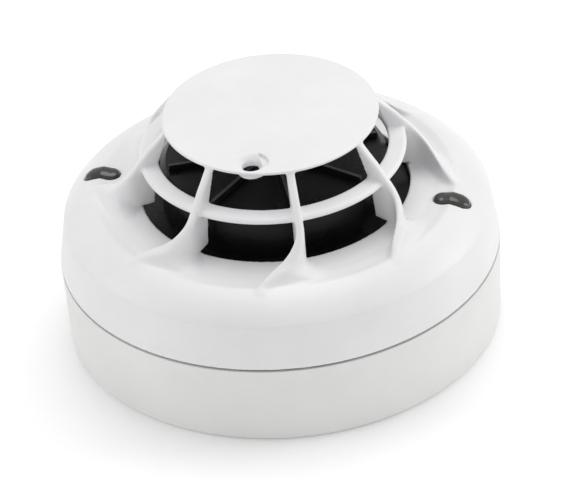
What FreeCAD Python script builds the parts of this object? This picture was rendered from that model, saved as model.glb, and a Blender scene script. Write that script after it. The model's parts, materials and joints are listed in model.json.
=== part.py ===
import FreeCAD, Part
import math
import os

import Sketcher

# Point heat detector: a round plug-in head on a twist-lock mounting base.
# The origin is the centre of the base's underside, +Z points at the disc, the front is -Y.
# Azimuths are degrees from the front (-Y) towards +X, so they grow as the head is unscrewed.

os.makedirs("parts", exist_ok=True)
doc = FreeCAD.newDocument("heat_detector")
sheet = doc.addObject("Spreadsheet::Sheet", "Dims")

DIMENSIONS = {
    # mounting base
    "base_top_radius": 51.0,
    "base_foot_radius": 50.3,
    "base_height": 19.6,
    "base_wall": 2.2,
    "base_floor": 2.4,
    "foot_chamfer": 0.8,
    "cable_hole_radius": 14.0,
    "slot_spacing": 60.0,
    "slot_length": 14.5,
    "slot_half_width": 2.25,
    "slot_pad_height": 1.0,
    "slot_pad_margin": 2.2,
    # twist lock
    "ledge_inner_radius": 45.5,
    "ledge_bottom": 13.2,
    "ledge_top": 14.8,
    "ledge_span": 18.5,
    "stop_span": 2.0,
    "lug_radius": 48.0,
    "lug_bottom": 11.2,
    "lug_height": 1.7,
    "lug_span": 14.0,
    "lug_count": 3,
    # terminals
    "terminal_count": 4,
    "terminal_azimuth": 45.0,
    "terminal_radius": 36.0,
    "terminal_top": 6.0,
    "terminal_post_length": 12.4,
    "terminal_post_width": 9.0,
    "terminal_middle_x": -8.7,
    "terminal_plate_length": 11.6,
    "terminal_plate_width": 7.6,
    "terminal_plate_thickness": 1.2,
    "terminal_screw_x": -10.0,
    "terminal_screw_radius": 1.7,
    "terminal_head_radius": 3.0,
    "terminal_head_height": 2.2,
    "clamp_side": 7.4,
    "clamp_thickness": 1.0,
    "thread_gap": 0.05,
    "leaf_width": 5.0,
    "leaf_thickness": 0.5,
    "leaf_root_x": -2.6,
    "blade_bottom": 11.5,
    "blade_thickness": 0.8,
    "blade_width": 4.6,
    "rivet_radius": 1.2,
    "rivet_head_radius": 1.9,
    "rivet_head_height": 0.6,
    "screw_slot_width": 0.8,
    "screw_slot_depth": 1.0,
    "rivet_x": 14.0,
    # locking tab
    "tab_azimuth": 60.0,
    "tab_width": 7.0,
    "tab_thickness": 1.0,
    "tab_radius": 45.9,
    "tab_height": 8.6,
    # rear housing
    "housing_bottom": 13.4,
    "housing_floor": 2.0,
    "skirt_outer_radius": 45.0,
    "skirt_wall": 2.0,
    "housing_radius": 48.0,
    "housing_wall": 2.0,
    "housing_top": 24.0,
    "seal_radius": 48.46,
    "seal_section_radius": 0.44,
    "seal_height": 21.85,
    # circuit board and what it carries
    "board_bottom": 18.0,
    "board_thickness": 1.6,
    "board_radius": 42.0,
    "board_post_radius": 2.5,
    "board_post_place": 28.0,
    "board_post_azimuth": 70.0,
    "cover_screw_azimuth": 25.0,
    "cover_screw_place": 39.5,
    "cover_screw_radius": 1.25,
    "cover_screw_head_radius": 2.7,
    "cover_screw_head_height": 1.6,
    "cover_screw_grip": 8.0,
    "cross_slot_length": 3.0,
    "cross_slot_width": 0.6,
    "cross_slot_depth": 0.8,
    "cover_post_radius": 3.2,
    "cover_post_bottom": 17.0,
    "dial_radius": 3.15,
    "dial_place": 17.0,
    "dial_azimuth": 24.0,
    "dial_bottom": 12.6,
    "dial_top": 17.6,
    "dial_slot_length": 4.6,
    "dial_slot_width": 0.8,
    "dial_slot_depth": 1.2,
    "switch_side": 9.0,
    "switch_bottom": 15.6,
    "running_gap": 0.05,
    "controller_side": 10.0,
    "controller_height": 1.6,
    "interface_length": 6.0,
    "interface_width": 8.0,
    "interface_height": 1.7,
    "chip_place_x": 12.0,
    "chip_place_y": 8.0,
    "capacitor_radius": 3.15,
    "capacitor_height": 7.0,
    "capacitor_place": 32.0,
    "resistor_length": 3.2,
    "resistor_width": 1.6,
    "resistor_height": 0.6,
    "resistor_place": 22.4,
    "reed_radius": 1.1,
    "reed_length": 14.0,
    "reed_place": 33.0,
    "reference_radius": 1.2,
    "reference_x": 6.0,
    "reference_y": -14.0,
    "lamp_length": 3.2,
    "lamp_width": 2.8,
    "lamp_height": 1.1,
    "lamp_dome_height": 0.4,
    # sensing chamber
    "chamber_radius": 26.2,
    "chamber_wall": 1.2,
    "chamber_flange_radius": 34.0,
    "chamber_flange_bottom": 32.2,
    "chamber_flange_top": 33.6,
    "chamber_top": 44.6,
    "chamber_bore": 3.6,
    "chamber_chamfer": 1.4,
    "chamber_rib_top": 46.0,
    "chamber_rib_width": 0.8,
    "chamber_rib_inner": 8.0,
    "chamber_rib_outer": 24.3,
    "holder_radius": 3.0,
    "holder_top": 47.5,
    "lead_radius": 0.3,
    "lead_offset": 0.9,
    "bead_radius": 1.3,
    "bead_height": 50.8,
    # outer cover
    "cover_bottom": 20.1,
    "cover_crease_radius": 49.4,
    "cover_crease_height": 30.6,
    "cover_rim_radius": 41.4,
    "cover_rim_height": 35.8,
    "cover_shoulder_round": 13.0,
    "cover_wall": 1.8,
    "vent_radius": 31.0,
    "scoop_height": 36.0,
    "ring_inner_radius": 26.65,
    "ring_outer_radius": 30.8,
    "ring_bottom": 45.6,
    "ring_top": 47.2,
    "disc_radius": 25.0,
    "disc_bottom": 54.65,
    "disc_top": 55.85,
    "disc_edge": 0.45,
    "disc_underside_chamfer": 1.0,
    "fin_count": 8,
    "fin_azimuth": 8.34,
    "fin_half_thickness": 0.93,
    "fin_straight_radius": 32.0,
    "fin_tip_radius": 40.5,
    "fin_sweep": 14.8,
    "fin_sweep_end": 15.5,
    "fin_sweep_fade": 4.0,
    "fin_sweep_reach": 7.75,
    "fin_sweep_power": 2.3,
    "fin_foot_radius": 28.2,
    "fin_foot_height": 37.3,
    "fin_waist_radius": 27.3,
    "fin_head_radius": 23.8,
    "hole_place": 20.4,
    "hole_azimuth": -14.2,
    "hole_radius": 2.15,
    "funnel_radius": 3.85,
    "funnel_bottom": 54.45,
    "hole_boss_radius": 3.5,
    "hole_boss_foot_radius": 3.2,
    "hole_boss_bottom": 53.2,
    # indicator windows
    "window_azimuth": 74.6,
    "window_place": 41.4,
    "window_half_length": 4.2,
    "window_half_width": 2.1,
    "window_gap": 0.1,
    "window_rise": 0.8,
    "guide_stem_radius": 2.0,
    "guide_stem_place": 39.4,
    "guide_bottom": 21.3,
    "guide_head_bottom": 32.6,
}


PLACES = {}
BOARD_TOP = "board_bottom + board_thickness"


def fill_sheet():
    """One row a dimension: its name, its value and an alias to bind to."""
    for row, (alias, number) in enumerate(DIMENSIONS.items(), start=1):
        sheet.set(f"A{row}", alias.replace("_", " "))
        sheet.set(f"B{row}", str(number))
        sheet.setAlias(f"B{row}", alias)
    doc.recompute()


def measure(expression):
    """The value of an expression in the sheet's aliases, or of a plain number."""
    if isinstance(expression, (int, float)):
        return float(expression)
    result = sheet.evalExpression(bound(expression))
    return float(getattr(result, "Value", result))


def bound(expression):
    """An expression in which each alias names the sheet."""
    words = str(expression).split()
    return " ".join(f"Dims.{word}" if word in DIMENSIONS else word for word in words)


def bind(item, **expressions):
    """Sets properties of an object from expressions."""
    for path, expression in expressions.items():
        item.setExpression(path, bound(expression))
    return item


def place(item, x, y, z):
    """Binds where an object stands; turn reads the expressions back."""
    for axis, expression in (("x", x), ("y", y), ("z", z)):
        item.setExpression(f"Placement.Base.{axis}", bound(expression))
    PLACES[item.Name] = (x, y)
    return item


def turn(item, azimuth):
    """Turns a piece made at the front about the axis to its azimuth."""
    spin = FreeCAD.Rotation(FreeCAD.Vector(0, 0, 1), azimuth)
    if item.Name in PLACES:
        x, y = PLACES[item.Name]
        across = f"( {x} ) * cos({azimuth}) - ( {y} ) * sin({azimuth})"
        along = f"( {x} ) * sin({azimuth}) + ( {y} ) * cos({azimuth})"
        item.setExpression("Placement.Base.x", bound(across))
        item.setExpression("Placement.Base.y", bound(along))
        item.Placement.Rotation = spin.multiply(item.Placement.Rotation)
    else:
        item.Placement = FreeCAD.Placement(FreeCAD.Vector(), spin).multiply(item.Placement)
    return item


# ---- solids from primitives ----


def cylinder(name, radius, bottom, top, x=0, y=0):
    item = doc.addObject("Part::Cylinder", name)
    bind(item, Radius=radius, Height=f"( {top} ) - ( {bottom} )")
    return place(item, x, y, bottom)


def cone(name, low_radius, high_radius, bottom, top, x=0, y=0):
    item = doc.addObject("Part::Cone", name)
    bind(item, Radius1=low_radius, Radius2=high_radius, Height=f"( {top} ) - ( {bottom} )")
    return place(item, x, y, bottom)


def box(name, length, width, bottom, top, x=0, y=0):
    """A box centred on x and y."""
    item = doc.addObject("Part::Box", name)
    bind(item, Length=length, Width=width, Height=f"( {top} ) - ( {bottom} )")
    return place(item, f"( {x} ) - ( {length} ) / 2", f"( {y} ) - ( {width} ) / 2", bottom)


def fuse(name, pieces):
    item = doc.addObject("Part::MultiFuse", name)
    item.Shapes = pieces
    return item


def cut(name, base, tool):
    item = doc.addObject("Part::Cut", name)
    item.Base = base
    item.Tool = tool
    return item


def common(name, base, tool):
    item = doc.addObject("Part::Common", name)
    item.Base = base
    item.Tool = tool
    return item


def group(name, solids):
    item = doc.addObject("Part::Compound", name)
    item.Links = solids
    return item


def ring_sector(name, inner, outer, bottom, top, start, span):
    """Part of a flat ring, from the azimuth start over the angle span."""
    outer_piece = cylinder(f"{name}_outer", outer, bottom, top)
    outer_piece.setExpression("Angle", bound(span))
    inner_piece = cylinder(f"{name}_inner", inner, f"( {bottom} ) - 1", f"( {top} ) + 1")
    return turn(cut(name, outer_piece, inner_piece), start - 90)


def around(count, first, make):
    """Makes count copies spread evenly round the axis; make gets the index and the azimuth."""
    step = 360.0 / count
    return [make(index, first + index * step) for index in range(count)]


# ---- solids from sketches ----


def origin_plane(body, role):
    return next(item for item in body.Origin.OriginFeatures if item.Role == role)


def arc_through(start, end, radius):
    """The minor arc from start to end that bulges to the right of that direction."""
    chord = end - start
    middle = (start + end) * 0.5
    normal = FreeCAD.Vector(chord.y, -chord.x, 0).normalize()
    depth = math.sqrt(radius**2 - (chord.Length / 2) ** 2)
    crown = middle + normal * (radius - depth)
    return Part.Arc(start, crown, end)


def outline(body, name, role, corners, rounds=None):
    """A closed sketch on an origin plane; rounds gives the radius of each edge that is an arc."""
    rounds = rounds or {}
    sketch = body.newObject("Sketcher::SketchObject", name)
    sketch.AttachmentSupport = [(origin_plane(body, role), "")]
    sketch.MapMode = "FlatFace"
    points = [FreeCAD.Vector(measure(x), measure(y), 0) for x, y in corners]
    ends = []
    for index, start in enumerate(points):
        end = points[(index + 1) % len(points)]
        if index in rounds:
            edge = sketch.addGeometry(arc_through(start, end, abs(measure(rounds[index]))), False)
        else:
            edge = sketch.addGeometry(Part.LineSegment(start, end), False)
        forward = sketch.getPoint(edge, 1).distanceToPoint(start) < 1e-6
        ends.append((1, 2) if forward else (2, 1))
    for index in range(len(points)):
        after = (index + 1) % len(points)
        sketch.addConstraint(Sketcher.Constraint("Coincident", index, ends[index][1], after, ends[after][0]))
    for index, (x, y) in enumerate(corners):
        hold(sketch, index, ends[index][0], "DistanceX", x, points[index].x, -2)
        hold(sketch, index, ends[index][0], "DistanceY", y, points[index].y, -1)
    for index, radius in rounds.items():
        number = sketch.addConstraint(Sketcher.Constraint("Radius", index, measure(radius)))
        sketch.setExpression(f"Constraints[{number}]", bound(radius))
    return sketch


def hold(sketch, edge, end, kind, expression, number, axis):
    """Places one coordinate of a corner: on an axis when it is zero, else at a bound distance."""
    if abs(number) < 1e-9:
        sketch.addConstraint(Sketcher.Constraint("PointOnObject", edge, end, axis))
        return
    index = sketch.addConstraint(Sketcher.Constraint(kind, -1, 1, edge, end, number))
    sketch.setExpression(f"Constraints[{index}]", bound(expression))


def revolved(name, corners, rounds=None):
    """A body of revolution about Z from an outline in the XZ plane."""
    body = doc.addObject("PartDesign::Body", name)
    sketch = outline(body, f"{name}_outline", "XZ_Plane", corners, rounds)
    turned = body.newObject("PartDesign::Revolution", f"{name}_revolution")
    turned.Profile = sketch
    turned.ReferenceAxis = (sketch, ["V_Axis"])
    turned.Angle = 360
    body.Tip = turned
    return body


def padded(name, role, corners, thickness):
    """A body padded evenly to both sides of an origin plane."""
    body = doc.addObject("PartDesign::Body", name)
    sketch = outline(body, f"{name}_outline", role, corners)
    pad = body.newObject("PartDesign::Pad", f"{name}_pad")
    pad.Profile = sketch
    pad.SideType = "Symmetric"
    pad.setExpression("Length", bound(thickness))
    body.Tip = pad
    return body


# ---- mounting base and its terminals ----


def base_dish():
    return revolved("base_dish", [
        ("0", "0"),
        ("base_foot_radius - foot_chamfer", "0"),
        ("base_foot_radius", "foot_chamfer"),
        ("base_top_radius", "base_height"),
        ("base_top_radius - base_wall", "base_height"),
        ("base_foot_radius - base_wall", "base_floor"),
        ("0", "base_floor"),
    ])


def long_slot(name, half_width, length, bottom, top, along_x):
    """Two slots in line, one each side of the axis, as one group of tool solids."""
    pieces = []
    for side, sign in (("far", 1), ("near", -1)):
        distance = f"{sign} * slot_spacing / 2"
        reach = f"( ( {length} ) / 2 - ( {half_width} ) )"
        straight = f"( {length} ) - 2 * ( {half_width} )"
        middle = (distance, "0") if along_x else ("0", distance)
        sizes = (straight, f"2 * ( {half_width} )") if along_x else (f"2 * ( {half_width} )", straight)
        pieces.append(box(f"{name}_{side}_middle", sizes[0], sizes[1], bottom, top, middle[0], middle[1]))
        for end, step in (("outer", 1), ("inner", -1)):
            tip = f"{distance} + {step} * {reach}"
            x, y = (tip, "0") if along_x else ("0", tip)
            pieces.append(cylinder(f"{name}_{side}_{end}", half_width, bottom, top, x, y))
    return fuse(name, pieces)


def mounting_base():
    """The dish with its cable hole, mounting slots, terminal posts and twist-lock ledges."""
    solids = [base_dish()]
    holes = [cylinder("cable_hole", "cable_hole_radius", "-1", "base_floor + 5")]
    pad_half_width = "slot_half_width + slot_pad_margin"
    pad_length = "slot_length + 2 * slot_pad_margin"
    pad_top = "base_floor + slot_pad_height"
    for along_x in (True, False):
        letter = "x" if along_x else "y"
        solids.append(long_slot(f"slot_pad_{letter}", pad_half_width, pad_length, "base_floor - 0.5", pad_top,
                                along_x))
        holes.append(long_slot(f"slot_{letter}", "slot_half_width", "slot_length", "-1", "base_floor + 3",
                               along_x))

    def terminal_post(index, azimuth):
        post = box(f"terminal_post_{index}", "terminal_post_length", "terminal_post_width",
                   "base_floor - 0.5", "terminal_top", "terminal_middle_x", "- terminal_radius")
        bore = "terminal_screw_radius + thread_gap"
        hole = cylinder(f"post_hole_{index}", bore, "base_floor + 0.2", "terminal_top + 1",
                        "terminal_screw_x", "- terminal_radius")
        solids.append(turn(post, azimuth))
        holes.append(turn(hole, azimuth))

    def ledge(index, azimuth):
        start = azimuth - measure("lug_span / 2 + 0.6 + stop_span")
        wall = "base_foot_radius - base_wall + 0.8"
        solids.append(ring_sector(f"ledge_{index}", "ledge_inner_radius", wall, "ledge_bottom", "ledge_top",
                                  start, "ledge_span"))
        solids.append(ring_sector(f"ledge_stop_{index}", "ledge_inner_radius", wall, "base_floor - 0.5",
                                  "ledge_top", start, "stop_span"))

    around(int(measure("terminal_count")), measure("terminal_azimuth"), terminal_post)
    around(int(measure("lug_count")), 0, ledge)
    return cut("mounting_base", fuse("base_solids", solids), fuse("base_holes", holes))


def terminal_plate(index, azimuth):
    plate_top = "terminal_top + terminal_plate_thickness"
    plate = box(f"terminal_strip_{index}", "terminal_plate_length", "terminal_plate_width", "terminal_top",
                plate_top, "terminal_middle_x", "- terminal_radius")
    hole = cylinder(f"terminal_strip_hole_{index}", "terminal_screw_radius + thread_gap",
                    "terminal_top - 1", f"{plate_top} + 1", "terminal_screw_x", "- terminal_radius")
    return turn(cut(f"terminal_plate_{index + 1}", plate, hole), azimuth)


def clamp_plate(index, azimuth):
    bottom = "terminal_top + terminal_plate_thickness"
    top = f"{bottom} + clamp_thickness"
    plate = box(f"clamp_square_{index}", "clamp_side", "clamp_side", bottom, top, "terminal_screw_x",
                "- terminal_radius")
    hole = cylinder(f"clamp_hole_{index}", "terminal_screw_radius + thread_gap", f"{bottom} - 1",
                    f"{top} + 1", "terminal_screw_x", "- terminal_radius")
    return turn(cut(f"clamp_{index}", plate, hole), azimuth)


def terminal_screw(index, azimuth):
    seat = "terminal_top + terminal_plate_thickness + clamp_thickness"
    spot = ("terminal_screw_x", "- terminal_radius")
    shank = cylinder(f"screw_shank_{index}", "terminal_screw_radius", "base_floor + 0.6", seat, *spot)
    top = f"{seat} + terminal_head_height"
    head = cylinder(f"screw_head_{index}", "terminal_head_radius", seat, top, *spot)
    whole = fuse(f"screw_blank_{index}", [shank, head])
    slot = box(f"screw_slot_{index}", "screw_slot_width", "2 * terminal_head_radius + 1",
               f"{top} - screw_slot_depth", f"{top} + 1", *spot)
    return turn(cut(f"terminal_screw_{index}", whole, slot), azimuth)


def contact_spring(index, azimuth):
    """A pressed leaf: it rises from its root to a hump that the head's blade lies on."""
    low = [("0", "0.35"), ("2.6", "0.5"), ("7.4", "4.1"), ("8.9", "4.7"), ("10.4", "4.1"), ("12.6", "2.5")]
    leaf = [(f"leaf_root_x + {x}", f"terminal_top + {z}") for x, z in low]
    upper = [(x, f"{z} + leaf_thickness") for x, z in reversed(leaf)]
    body = padded(f"contact_spring_{index + 1}", "XZ_Plane", leaf + upper, "leaf_width")
    body.Placement.Base.y = -measure("terminal_radius")
    return turn(body, azimuth)


def locking_tab():
    """A springy tongue beside the head's skirt, pressed outwards through the base to free the head."""
    tongue = padded("locking_tab", "XZ_Plane", [
        ("tab_radius", "base_floor + 0.2"),
        ("tab_radius + tab_thickness", "base_floor + 0.2"),
        ("tab_radius + tab_thickness", "base_floor + 0.2 + tab_height"),
        ("tab_radius - 0.4", "base_floor + 0.2 + tab_height"),
        ("tab_radius - 0.4", "base_floor - 1.0 + tab_height"),
        ("tab_radius", "base_floor - 1.8 + tab_height"),
    ], "tab_width")
    return turn(tongue, measure("tab_azimuth") - 90)


# ---- rear housing, contact blades and fasteners ----


def rear_housing():
    """The head's back: a floor with a skirt that carries the twist-lock lugs, and a wall inside the cover."""
    shell = revolved("housing_shell", [
        ("0", "housing_bottom"),
        ("skirt_outer_radius - skirt_wall", "housing_bottom"),
        ("skirt_outer_radius - skirt_wall", "lug_bottom"),
        ("skirt_outer_radius", "lug_bottom"),
        ("skirt_outer_radius", "housing_bottom + housing_floor"),
        ("housing_radius", "housing_bottom + housing_floor"),
        ("housing_radius", "housing_top"),
        ("housing_radius - housing_wall", "housing_top"),
        ("housing_radius - housing_wall", "housing_bottom + 2 * housing_floor"),
        ("skirt_outer_radius - skirt_wall", "housing_bottom + 2 * housing_floor"),
        ("skirt_outer_radius - skirt_wall", "housing_bottom + housing_floor"),
        ("0", "housing_bottom + housing_floor"),
    ])
    solids = [shell]
    holes = []
    floor_top = "housing_bottom + housing_floor"

    def lug(index, azimuth):
        start = azimuth - measure("lug_span / 2")
        solids.append(ring_sector(f"lug_{index}", "skirt_outer_radius - 1", "lug_radius", "lug_bottom",
                                  "lug_bottom + lug_height", start, "lug_span"))

    def screw_boss(index, azimuth):
        boss = cylinder(f"screw_boss_{index}", "cover_post_radius", f"{floor_top} - 0.5",
                        "cover_post_bottom", 0, "- cover_screw_place")
        hole = cylinder(f"screw_boss_hole_{index}", "cover_screw_radius + 0.4", "housing_bottom - 1",
                        "cover_post_bottom + 1", 0, "- cover_screw_place")
        solids.append(turn(boss, azimuth))
        holes.append(turn(hole, azimuth))

    def board_post(index, azimuth):
        post = cylinder(f"board_post_{index}", "board_post_radius", f"{floor_top} - 0.5", "board_bottom", 0,
                        "- board_post_place")
        solids.append(turn(post, azimuth))

    def rivet_hole(index, azimuth):
        hole = cylinder(f"rivet_hole_{index}", "rivet_radius + thread_gap", "housing_bottom - 1",
                        f"{floor_top} + 1", "rivet_x", "- terminal_radius")
        holes.append(turn(hole, azimuth))

    around(int(measure("lug_count")), 0, lug)
    around(4, measure("cover_screw_azimuth"), screw_boss)
    around(4, measure("board_post_azimuth"), board_post)
    around(int(measure("terminal_count")), measure("terminal_azimuth"), rivet_hole)
    for name, azimuth in dial_places():
        hole = cylinder(f"dial_hole_{name}", "dial_radius + 0.4", "housing_bottom - 1", f"{floor_top} + 1", 0,
                        "- dial_place")
        holes.append(turn(hole, azimuth))
    return cut("rear_housing", fuse("housing_solids", solids), fuse("housing_holes", holes))


def contact_blade(index, azimuth):
    """The head's contact: a flat shoe over the spring, stepped up to a riveted foot."""
    shoe = "blade_bottom"
    step = "housing_bottom - blade_thickness"
    body = padded(f"blade_strip_{index}", "XZ_Plane", [
        ("2.0", shoe),
        ("10.2", shoe),
        ("11.4", step),
        ("16.4", step),
        ("16.4", "housing_bottom"),
        ("11.0", "housing_bottom"),
        ("9.8", f"{shoe} + blade_thickness"),
        ("2.0", f"{shoe} + blade_thickness"),
    ], "blade_width")
    body.Placement.Base.y = -measure("terminal_radius")
    hole = cylinder(
        f"blade_hole_{index}", "rivet_radius + thread_gap", "blade_bottom - 1",
        "housing_bottom + 1", "rivet_x", "- terminal_radius")
    return turn(cut(f"contact_blade_{index + 1}", body, hole), azimuth)


def blade_rivet(index, azimuth):
    spot = ("rivet_x", "- terminal_radius")
    foot = "housing_bottom - blade_thickness"
    shank = cylinder(f"rivet_shank_{index}", "rivet_radius", foot, "board_bottom", *spot)
    head = cone(f"rivet_head_{index}", "rivet_head_radius - 0.7", "rivet_head_radius",
                f"{foot} - rivet_head_height", foot, *spot)
    return turn(fuse(f"rivet_{index}", [shank, head]), azimuth)


def cover_screw(index, azimuth):
    """A countersunk cross-slot screw that goes up through the housing into a post of the cover."""
    spot = (0, "- cover_screw_place")
    head_bottom = "housing_bottom - cover_screw_head_height"
    shank = cylinder(f"cover_screw_shank_{index}", "cover_screw_radius", "housing_bottom",
                     "cover_post_bottom + cover_screw_grip", *spot)
    head = cone(f"cover_screw_head_{index}", "cover_screw_head_radius - 0.8", "cover_screw_head_radius",
                head_bottom, "housing_bottom", *spot)
    slots = []
    for letter, length, width in (("a", "cross_slot_length", "cross_slot_width"),
                                  ("b", "cross_slot_width", "cross_slot_length")):
        slots.append(box(f"cover_screw_slot_{letter}_{index}", length, width, f"{head_bottom} - 1",
                         f"{head_bottom} + cross_slot_depth", *spot))
    whole = fuse(f"cover_screw_blank_{index}", [shank, head])
    return turn(cut(f"cover_screw_{index}", whole, fuse(f"cover_screw_cross_{index}", slots)), azimuth)


def seal_ring():
    ring = doc.addObject("Part::Torus", "seal_ring")
    bind(ring, Radius1="seal_radius", Radius2="seal_section_radius")
    return place(ring, 0, 0, "seal_height")


# ---- circuit board ----


def circuit_board():
    """A round board with notches for the cover's posts and two holes for the bead's leads."""
    def notch(index, azimuth):
        return turn(cylinder(f"board_notch_{index}", "cover_post_radius + 0.3", "board_bottom - 1",
                             "board_bottom + 4", 0, "- cover_screw_place"), azimuth)

    plate = cylinder("board_blank", "board_radius", "board_bottom", BOARD_TOP)
    holes = around(4, measure("cover_screw_azimuth"), notch)
    for side, sign in (("a", 1), ("b", -1)):
        holes.append(cylinder(f"board_lead_hole_{side}", "lead_radius + thread_gap", "board_bottom - 1",
                              "board_bottom + 4", f"{sign} * lead_offset", 0))
    return cut("circuit_board", plate, fuse("board_holes", holes))


def microcontroller():
    return box("microcontroller", "controller_side", "controller_side", BOARD_TOP,
               f"{BOARD_TOP} + controller_height", "chip_place_x", "chip_place_y")


def line_interface_chip():
    return box("line_interface_chip", "interface_length", "interface_width", BOARD_TOP,
               f"{BOARD_TOP} + interface_height", "- chip_place_x", "chip_place_y")


def filter_capacitor(index, azimuth):
    can = cylinder(f"capacitor_can_{index}", "capacitor_radius", BOARD_TOP,
                   f"{BOARD_TOP} + capacitor_height", 0, "- capacitor_place")
    return turn(can, azimuth)


def chip_resistor(index, azimuth):
    chip = box(f"resistor_{index}", "resistor_length", "resistor_width", BOARD_TOP,
               f"{BOARD_TOP} + resistor_height", 0, "- resistor_place")
    return turn(chip, azimuth)


def reed_switch():
    """A glass reed switch lying on the board, worked by a test magnet held to the cover."""
    glass = cylinder("reed_switch", "reed_radius", "0", "reed_length")
    glass.Placement.Rotation = FreeCAD.Rotation(FreeCAD.Vector(0, 1, 0), 90)
    return place(glass, "- reed_length / 2", "reed_place", f"{BOARD_TOP} + reed_radius")


def reference_thermistor():
    """The second bead, shielded inside the housing, for the rate-of-rise comparison."""
    bead = doc.addObject("Part::Sphere", "reference_thermistor")
    bind(bead, Radius="reference_radius")
    return place(bead, "reference_x", "reference_y", f"{BOARD_TOP} + reference_radius")


def dial_places():
    """The two address dials sit side by side at the back of the head."""
    spread = measure("dial_azimuth")
    return (("tens", 180 - spread), ("units", 180 + spread))


def address_switch(name, azimuth):
    case = box(f"switch_case_{name}", "switch_side", "switch_side", "switch_bottom", "board_bottom", 0,
               "- dial_place")
    bore = cylinder(
        f"switch_bore_{name}", "dial_radius + running_gap", "switch_bottom - 1",
        "dial_top + 0.1", 0, "- dial_place")
    return turn(cut(f"address_switch_{name}", case, bore), azimuth)


def address_dial(name, azimuth):
    """A small rotor with a screwdriver slot in its lower face."""
    rotor = cylinder(f"dial_rotor_{name}", "dial_radius", "dial_bottom", "dial_top", 0, "- dial_place")
    slot = box(f"dial_slot_{name}", "dial_slot_width", "dial_slot_length", "dial_bottom - 1",
               "dial_bottom + dial_slot_depth", 0, "- dial_place")
    return turn(cut(f"address_dial_{name}", rotor, slot), azimuth)


# ---- sensing chamber ----


def inner_chamber():
    """The dark moulding behind the vents: a cup with a ribbed lid and a mid floor."""
    inside = "chamber_radius - chamber_wall"
    cup = revolved("chamber_cup", [
        ("chamber_bore", "chamber_flange_bottom + 0.8"),
        (inside, "chamber_flange_bottom + 0.8"),
        (inside, BOARD_TOP),
        ("chamber_radius", BOARD_TOP),
        ("chamber_radius", "chamber_top - chamber_chamfer"),
        ("chamber_radius - chamber_chamfer", "chamber_top"),
        ("chamber_bore", "chamber_top"),
        ("chamber_bore", "chamber_top - chamber_wall"),
        (inside, "chamber_top - chamber_wall"),
        (inside, "chamber_flange_bottom + 2"),
        ("chamber_bore", "chamber_flange_bottom + 2"),
    ])

    def rib(index, azimuth):
        length = "chamber_rib_outer - chamber_rib_inner"
        middle = "- ( chamber_rib_outer + chamber_rib_inner ) / 2"
        return turn(box(f"chamber_rib_{index}", "chamber_rib_width", length, "chamber_top - 0.5",
                        "chamber_rib_top", 0, middle), azimuth)

    ribs = around(int(measure("fin_count")), measure("fin_azimuth"), rib)
    return fuse("inner_chamber", [cup] + ribs)


def chamber_flange():
    """The dark floor round the cup that closes the vents from below."""
    return revolved("chamber_flange", [
        ("chamber_radius", "chamber_flange_bottom"),
        ("chamber_flange_radius", "chamber_flange_bottom"),
        ("chamber_flange_radius", "chamber_flange_top"),
        ("chamber_radius", "chamber_flange_top"),
    ])


def thermistor_holder():
    post = cylinder("holder_post", "holder_radius", BOARD_TOP, "holder_top")
    bores = [cylinder(f"holder_bore_{side}", "lead_radius + thread_gap", "board_bottom", "holder_top + 1",
                      f"{sign} * lead_offset", 0) for side, sign in (("a", 1), ("b", -1))]
    return cut("thermistor_holder", post, fuse("holder_bores", bores))


def thermistor_bead():
    bead = doc.addObject("Part::Sphere", "thermistor_bead")
    bind(bead, Radius="bead_radius")
    return place(bead, 0, 0, "bead_height")


def thermistor_leads():
    """Two stiff wires from the board through the holder up to the bead."""
    leads = []
    for side, sign in (("a", 1), ("b", -1)):
        wire = cylinder(f"lead_wire_{side}", "lead_radius", "board_bottom + 0.2", "bead_height",
                        f"{sign} * lead_offset", 0)
        end = doc.addObject("Part::Sphere", f"lead_end_{side}")
        bind(end, Radius="bead_radius")
        place(end, 0, 0, "bead_height")
        leads.append(cut(f"lead_{side}", wire, end))
    return group("thermistor_leads", leads)


# ---- outer cover ----


def cover_shell(name):
    """The skirt, the rounded shoulder and the scoop floor round the vent opening."""
    return revolved(name, [
        ("base_top_radius", "cover_bottom"),
        ("cover_crease_radius", "cover_crease_height"),
        ("cover_rim_radius", "cover_rim_height"),
        ("vent_radius", "scoop_height"),
        ("vent_radius", "scoop_height - cover_wall + 0.2"),
        ("cover_rim_radius - 0.6", "cover_rim_height - cover_wall"),
        ("cover_crease_radius - cover_wall", "cover_crease_height - 0.7"),
        ("base_top_radius - cover_wall", "cover_bottom"),
    ], {1: "cover_shoulder_round"})


def vent_ring():
    return revolved("vent_ring", [
        ("ring_inner_radius", "ring_bottom"),
        ("ring_outer_radius - 0.4", "ring_bottom"),
        ("ring_outer_radius", "ring_bottom + 0.5"),
        ("ring_outer_radius - 0.5", "ring_top - 0.2"),
        ("ring_inner_radius", "ring_top"),
    ])


def disc():
    return revolved("disc_plate", [
        ("0", "disc_bottom"),
        ("disc_radius - disc_underside_chamfer", "disc_bottom"),
        ("disc_radius", "disc_top - disc_edge"),
        ("disc_radius", "disc_top"),
        ("0", "disc_top"),
    ])


def fin_sweep_at(radius):
    """How far a fin's centreline has swung from its azimuth at a radius, in degrees.

    It swings ever faster at first and settles towards fin_sweep_end at the tip.
    """
    reach = max(0.0, radius - measure("fin_straight_radius")) / measure("fin_sweep_reach")
    swing = measure("fin_sweep") * reach ** measure("fin_sweep_power")
    fade = measure("fin_sweep_fade")
    return -swing / (1 + (swing / measure("fin_sweep_end")) ** fade) ** (1 / fade)


FIN_ROOT_RADIUS, FIN_STEPS, FIN_PROBE = 20.0, 14, 0.01


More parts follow.
